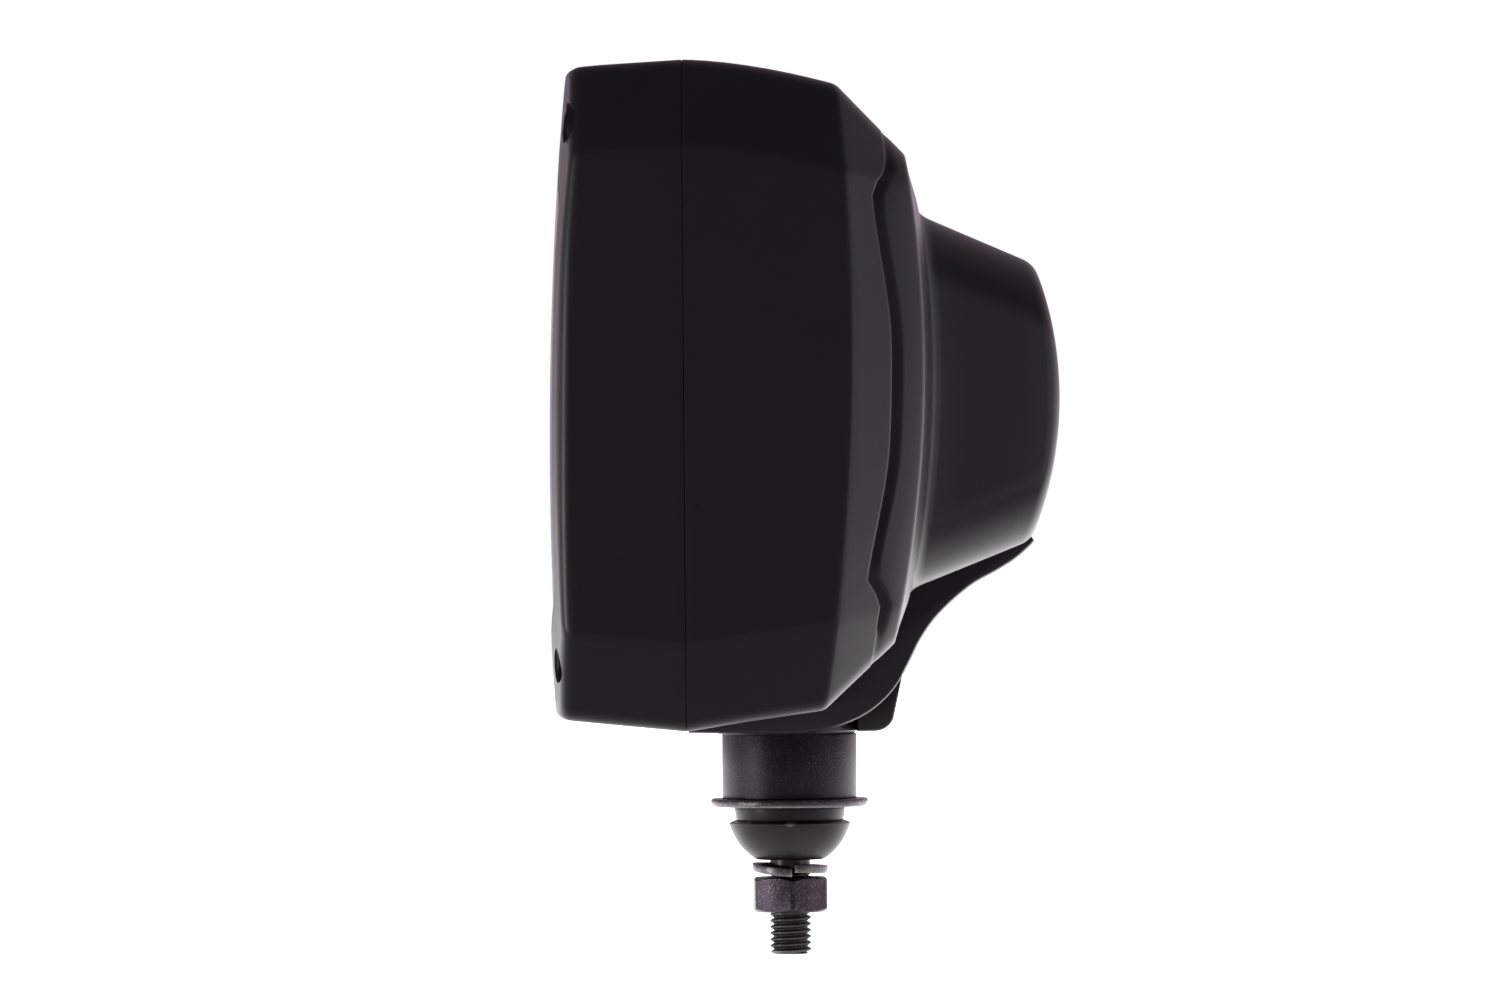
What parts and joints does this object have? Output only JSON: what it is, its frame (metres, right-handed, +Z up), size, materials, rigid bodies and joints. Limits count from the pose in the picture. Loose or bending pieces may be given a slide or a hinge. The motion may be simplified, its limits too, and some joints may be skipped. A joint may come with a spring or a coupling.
{
  "type": "vehicle headlamp",
  "caption": "Rectangular vehicle headlamp in a black two-piece moulded housing with a rear bulge for the bulb, carried on a downward stud with a ball, cup, spring washer and nut.",
  "frame": {"origin": "centre of the mounting ball, on the stud's axis and level with the underside of the flange washer", "axes": "+Z up along the stud; -Y is the way the lamp shines; +X is across the lamp"},
  "size_m": [0.22, 0.1194, 0.21],
  "materials": {
    "housing": "fine satin grain",
    "lens_glass": "moulded, clear",
    "bulb_glass": "clear",
    "bowl": "vacuum-metallised, lacquered",
    "trim": "gloss",
    "seal": "matt",
    "fixings": "zinc plated",
    "bulb_metal": "bright",
    "contacts": "bright",
    "plug": "matt",
    "wire_cover": "satin",
    "sleeve_coat": "speckled sparkling grey-black coat",
    "dark_steel": "phosphated, oiled",
    "nut_steel": "black with a purple sheen",
    "washer_steel": "dark, worn bright on its edge",
    "socket_plastic": "matt"
  },
  "bodies": {
    "seat": {"ball_cup": "dark_steel"},
    "swivel": {"flange_washer": "washer_steel", "ball_ring": "dark_steel"},
    "head": {"front_bezel": "housing", "bezel_screws": "fixings", "seam_gasket": "seal", "rear_shell": "housing", "breather_cap": "seal", "lens": "lens_glass", "lens_gasket": "seal", "inner_trim": "trim", "reflector": "bowl", "reflector_screws": "fixings", "bulb_glass": "bulb_glass", "bulb_filaments": "bulb_metal", "bulb_base": "bulb_metal", "bulb_terminals": "contacts", "bulb_plug": "plug", "position_bulb": "bulb_glass", "position_holder": "plug", "lead_wires": "wire_cover", "inlet_socket": "socket_plastic", "inlet_pins": "contacts", "stud_plate": "fixings", "plate_screws": "fixings", "mounting_stud": "dark_steel", "mount_sleeve": "sleeve_coat"},
    "washer": {"spring_washer": "washer_steel"},
    "nut": {"hex_nut": "nut_steel"},
    "clip": {"bulb_clip": "fixings"}
  },
  "joints": [
    {"name": "head_tilt", "type": "hinge", "parent": "seat", "child": "swivel", "pos_m": [0, 0, 0], "axis": [1, 0, 0], "range_deg": [-5, 5]},
    {"name": "head_pan", "type": "hinge", "parent": "swivel", "child": "head", "pos_m": [0, 0, 0], "axis": [0, 0, 1], "range_deg": [-180, 180]},
    {"name": "washer_drop", "type": "slide", "parent": "head", "child": "washer", "axis": [0, 0, -1], "range_m": [0, 0.009]},
    {"name": "nut_turn", "type": "hinge", "parent": "washer", "child": "nut", "pos_m": [0, 0, -0.021], "axis": [0, 0, -1], "range_deg": [0, 2160]},
    {"name": "bulb_clip_open", "type": "hinge", "parent": "head", "child": "clip", "pos_m": [0, 0.0164, 0.127], "axis": [1, 0, 0], "range_deg": [0, 70]}
  ],
  "couplings": [
    {"joint": "washer_drop", "follows": "nut_turn", "m_per_rad": 0.00023873}
  ]
}
